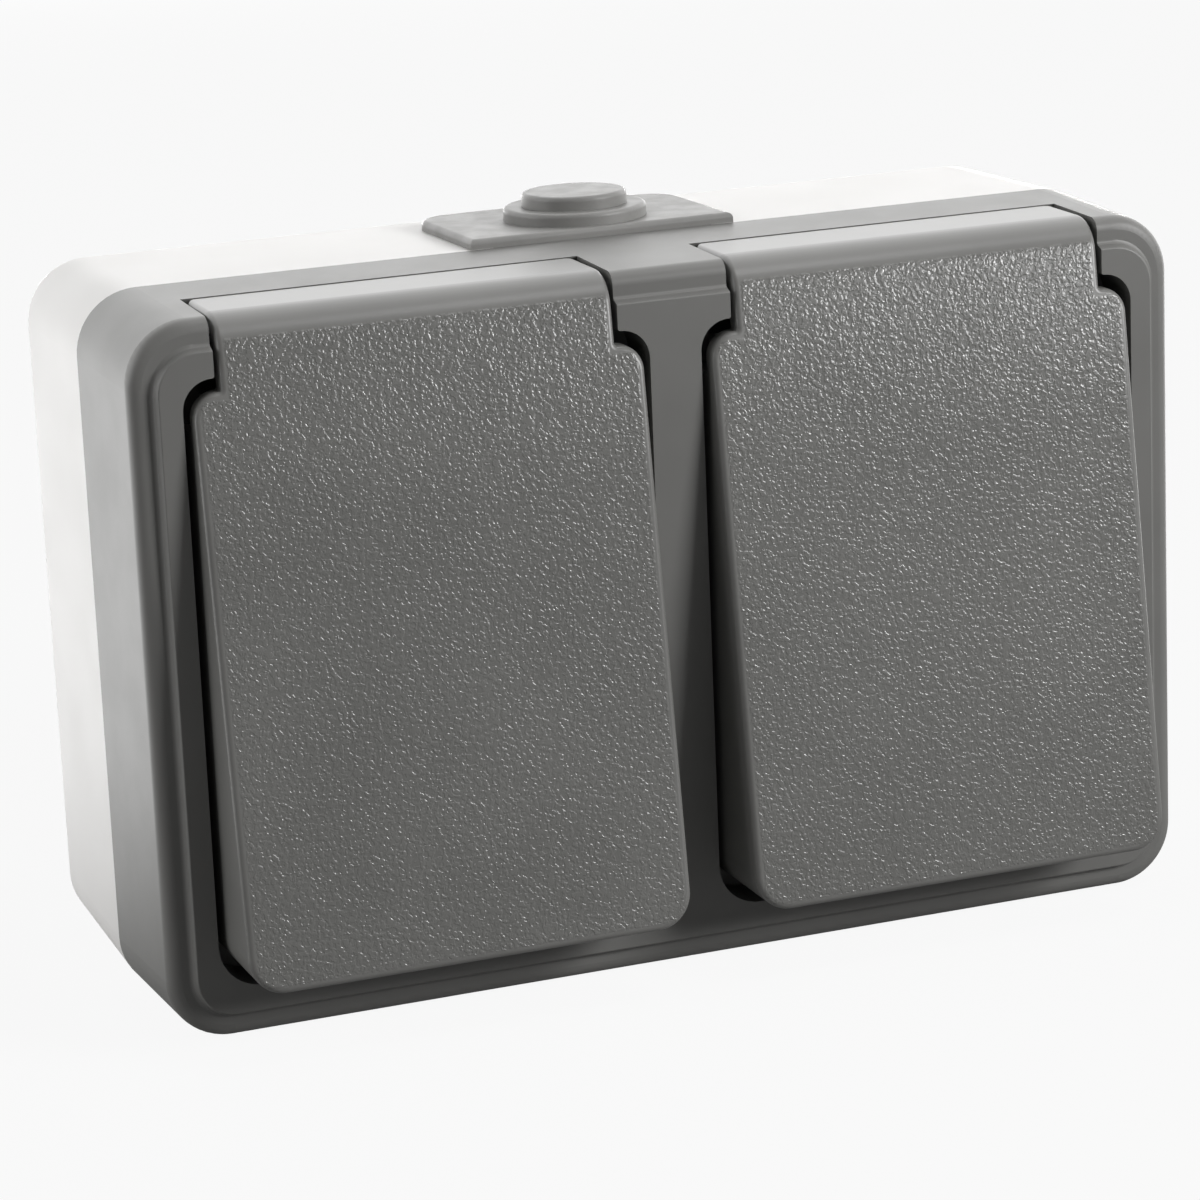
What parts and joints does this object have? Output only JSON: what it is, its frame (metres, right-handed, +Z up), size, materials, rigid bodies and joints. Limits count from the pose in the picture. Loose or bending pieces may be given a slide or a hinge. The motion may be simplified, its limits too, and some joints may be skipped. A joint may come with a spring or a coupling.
{
  "type": "outdoor weatherproof socket",
  "caption": "Surface-mounted weatherproof mains socket with sprung hinged lids over earthed two-pin recesses, a drafted wall box and a rubber cable gland on top.",
  "frame": {"origin": "middle of the back face, on the wall", "axes": "+X to the right seen from the front, +Y into the wall, +Z up"},
  "size_m": [0.141, 0.0621, 0.0967],
  "materials": {
    "pale_plastic": "satin moulded",
    "grey_plastic": "satin moulded",
    "grained_plastic": "spark-eroded grain",
    "cup_plastic": "satin moulded",
    "carrier_plastic": "matt moulded",
    "gland_rubber": "matt",
    "seal_rubber": "matt",
    "steel": "zinc plated",
    "brass": "bright strip",
    "tinned_strip": "nickel plated"
  },
  "bodies": {
    "housing": {"rear_housing": "pale_plastic", "front_housing": "grey_plastic", "housing_gasket": "seal_rubber", "cable_gland": "gland_rubber", "left_hinge_pin": "steel", "right_hinge_pin": "steel", "left_lid_spring": "steel", "right_lid_spring": "steel", "left_socket_cup": "cup_plastic", "right_socket_cup": "cup_plastic", "left_contact_carrier": "carrier_plastic", "right_contact_carrier": "carrier_plastic", "live_rail": "brass", "neutral_rail": "brass", "left_earth_clip": "tinned_strip", "right_earth_clip": "tinned_strip", "earth_rail": "brass", "terminal_clamps": "brass", "terminal_screws": "steel", "cover_screws": "steel", "carrier_screws": "steel"},
    "left_lid": {"left_lid": "grained_plastic", "left_lid_seal": "seal_rubber"},
    "right_lid": {"right_lid": "grained_plastic", "right_lid_seal": "seal_rubber"}
  },
  "joints": [
    {"name": "left_lid_hinge", "type": "hinge", "parent": "housing", "child": "left_lid", "pos_m": [-0.0336, -0.0465, 0.0427], "axis": [-1, 0, 0], "range_deg": [0, 135], "stiffness_Nm_per_rad": 0.02, "springref_deg": -45.84, "deforming": ["left_lid_spring"]},
    {"name": "right_lid_hinge", "type": "hinge", "parent": "housing", "child": "right_lid", "pos_m": [0.0336, -0.0465, 0.0427], "axis": [-1, 0, 0], "range_deg": [0, 135], "stiffness_Nm_per_rad": 0.02, "springref_deg": -45.84, "deforming": ["right_lid_spring"]}
  ]
}
